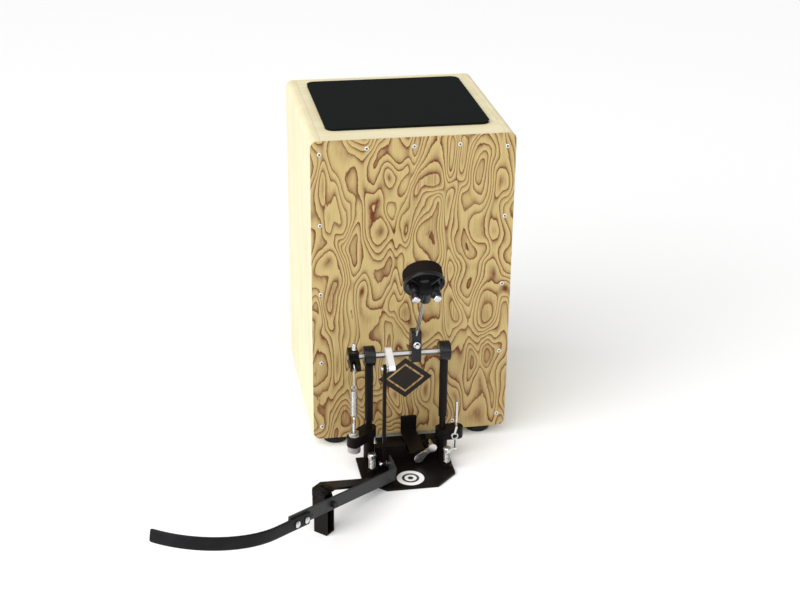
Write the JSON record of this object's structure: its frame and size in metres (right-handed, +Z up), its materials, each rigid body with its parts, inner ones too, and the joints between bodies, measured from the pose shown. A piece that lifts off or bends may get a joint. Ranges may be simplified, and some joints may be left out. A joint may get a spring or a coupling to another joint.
{
  "type": "cajon with heel pedal",
  "caption": "Box drum to sit on, with a heel-operated pedal clamped to its front that swings a felt beater against the playing plate.",
  "frame": {"origin": "on the floor, under the middle of the bounding box of the cajon with its pedal", "axes": "+X to the right in a front view, +Y from the playing plate towards the back, +Z up"},
  "size_m": [0.5576, 0.6796, 0.5],
  "materials": {
    "birch": "satin lacquer",
    "burl": "printed burl veneer, satin",
    "pine": "raw",
    "pad": "woven, matte",
    "rubber": "matte",
    "black_steel": "satin powder coat",
    "black_plastic": "satin",
    "chrome": "polished",
    "nickel": "nickel plated",
    "aluminium": "knurled",
    "felt": "dense felt"
  },
  "bodies": {
    "cajon_and_stand": {"back_panel": "birch", "base_plate": "black_steel", "bottom_panel": "birch", "clamp_bar": "black_steel", "clamp_jaw": "black_steel", "cross_beam": "black_steel", "foot_back_left": "rubber", "foot_back_right": "rubber", "foot_front_left": "rubber", "foot_front_right": "rubber", "foot_hinge_pin": "black_steel", "front_plate": "burl", "key_bracket": "black_steel", "left_bearing": "nickel", "left_bearing_housing": "black_plastic", "left_casting": "black_steel", "left_post": "black_steel", "left_side": "birch", "outrigger_arm": "black_steel", "outrigger_foot": "black_steel", "pivot_bolt": "black_steel", "return_spring": "nickel", "right_bearing": "nickel", "right_bearing_housing": "black_plastic", "right_casting": "black_steel", "right_post": "black_steel", "right_side": "birch", "seat_pad": "pad", "snare_bar": "pine", "snare_wires": "nickel", "spike_spring_left": "nickel", "spike_spring_right": "nickel", "spring_bracket": "black_steel", "tension_rod": "nickel", "top_panel": "birch"},
    "beater": {"axle": "nickel", "spring_arm": "black_steel", "spring_arm_bolt": "chrome", "drive_rocker": "chrome", "drive_rod_pin": "chrome", "beater_hub": "black_plastic", "beater_hub_bolt": "chrome", "beater_rod": "nickel", "beater_back": "black_plastic", "beater_felt": "felt", "beater_weight_left": "chrome", "beater_weight_right": "chrome"},
    "rod": {"drive_rod": "black_steel"},
    "lever": {"lever_bar": "black_steel", "heel_bar": "rubber", "heel_screw_1": "chrome", "heel_screw_2": "chrome", "lower_bolt": "chrome"},
    "hanger": {"spring_hanger": "nickel"},
    "wing_bolt": {"clamp_wing_bolt": "chrome"},
    "knob": {"tension_knob": "aluminium"},
    "lock_nut": {"tension_nut": "nickel"},
    "key": {"drum_key": "chrome"},
    "left_spike": {"spike_left": "chrome"},
    "right_spike": {"spike_right": "chrome"}
  },
  "joints": [
    {"name": "lever_press", "type": "hinge", "parent": "cajon_and_stand", "child": "lever", "pos_m": [-0.02671, -0.20407, 0.0498], "axis": [0.7169, -0.6972, 0], "range_deg": [0, 5.74], "stiffness_Nm_per_rad": 6, "springref_deg": -5.16},
    {"name": "beater_swing", "type": "hinge", "parent": "cajon_and_stand", "child": "beater", "pos_m": [0.12448, -0.01818, 0.18], "axis": [-1, 0, 0], "range_deg": [0, 33.92]},
    {"name": "drive_rod_swing", "type": "hinge", "parent": "beater", "child": "rod", "pos_m": [0.07353, -0.05008, 0.1738], "axis": [1, 0, 0], "range_deg": [0, 33.92]},
    {"name": "hanger_lift", "type": "slide", "parent": "cajon_and_stand", "child": "hanger", "axis": [0, 0.1039, 0.9946], "range_m": [0, 0.01488], "deforming": ["return_spring"]},
    {"name": "wing_bolt_turn", "type": "hinge", "parent": "cajon_and_stand", "child": "wing_bolt", "pos_m": [0.14778, -0.04418, 0.033], "axis": [0, 1, 0], "range_deg": [0, 180]},
    {"name": "knob_turn", "type": "hinge", "parent": "cajon_and_stand", "child": "knob", "pos_m": [0.02928, -0.04321, 0.04], "axis": [0, 0, 1], "continuous": true},
    {"name": "lock_nut_turn", "type": "hinge", "parent": "cajon_and_stand", "child": "lock_nut", "pos_m": [0.02928, -0.04321, 0.065], "axis": [0, 0, 1], "continuous": true},
    {"name": "key_pull", "type": "slide", "parent": "cajon_and_stand", "child": "key", "axis": [0, 0, 1], "range_m": [0, 0.025]},
    {"name": "left_spike_turn", "type": "hinge", "parent": "cajon_and_stand", "child": "left_spike", "pos_m": [0.05448, -0.05618, 0.02], "axis": [0, 0, 1], "continuous": true},
    {"name": "right_spike_turn", "type": "hinge", "parent": "cajon_and_stand", "child": "right_spike", "pos_m": [0.16828, -0.05618, 0.02], "axis": [0, 0, 1], "continuous": true}
  ],
  "couplings": [
    {"joint": "beater_swing", "follows": "lever_press", "ratio": 5.9047},
    {"joint": "drive_rod_swing", "follows": "lever_press", "ratio": 5.9047},
    {"joint": "hanger_lift", "follows": "lever_press", "m_per_rad": 0.14838}
  ]
}
